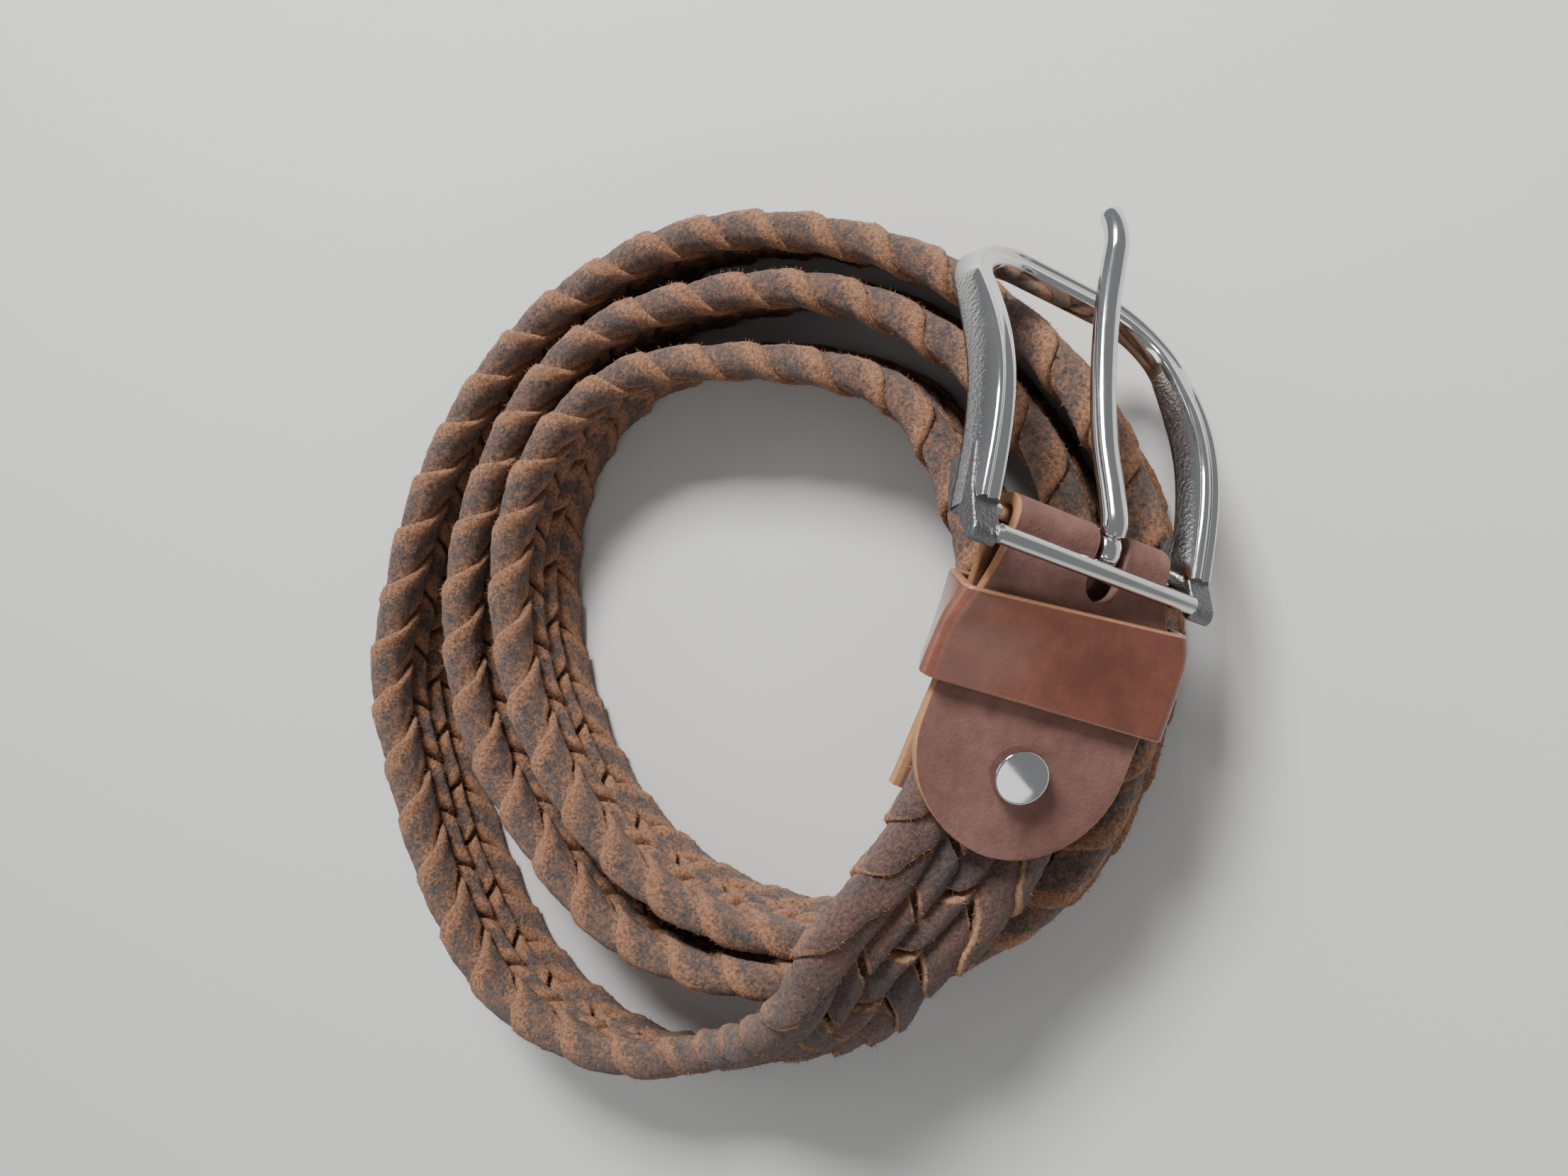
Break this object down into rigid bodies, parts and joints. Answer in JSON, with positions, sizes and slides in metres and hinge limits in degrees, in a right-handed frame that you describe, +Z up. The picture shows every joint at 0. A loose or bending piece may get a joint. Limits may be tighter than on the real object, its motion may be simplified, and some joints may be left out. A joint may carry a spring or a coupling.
{
  "type": "braided belt",
  "caption": "Braided leather belt rolled up on its edge, with a folded leather tab, keeper loop, rivet and a prong buckle.",
  "frame": {"origin": "middle of the bottom of the box around the rolled belt, on the ground it lies on", "axes": "+Z up, through the coil's turns; +X towards the buckle's front bar; the tab and buckle lie at the -Y side"},
  "size_m": [0.1912, 0.1822, 0.0729],
  "materials": {
    "braid": "rough braided leather",
    "tab_leather": "matte leather",
    "keeper_leather": "glossy leather",
    "chrome": "polished"
  },
  "bodies": {
    "strap": {"braided_strap": "braid", "strap_tip": "tab_leather", "buckle_tab": "tab_leather", "keeper": "keeper_leather", "rivet": "chrome"},
    "frame": {"buckle_frame": "chrome", "pivot_bar": "chrome"},
    "prong": {"prong": "chrome"}
  },
  "joints": [
    {"name": "frame_swing", "type": "hinge", "parent": "strap", "child": "frame", "pos_m": [0.02752, -0.07048, 0.04966], "axis": [-0.1635, -0.6577, -0.7354], "range_deg": [-2, 3]},
    {"name": "prong_swing", "type": "hinge", "parent": "frame", "child": "prong", "pos_m": [0.02752, -0.07048, 0.04966], "axis": [-0.1635, -0.6577, -0.7354], "range_deg": [-12, 55]}
  ]
}
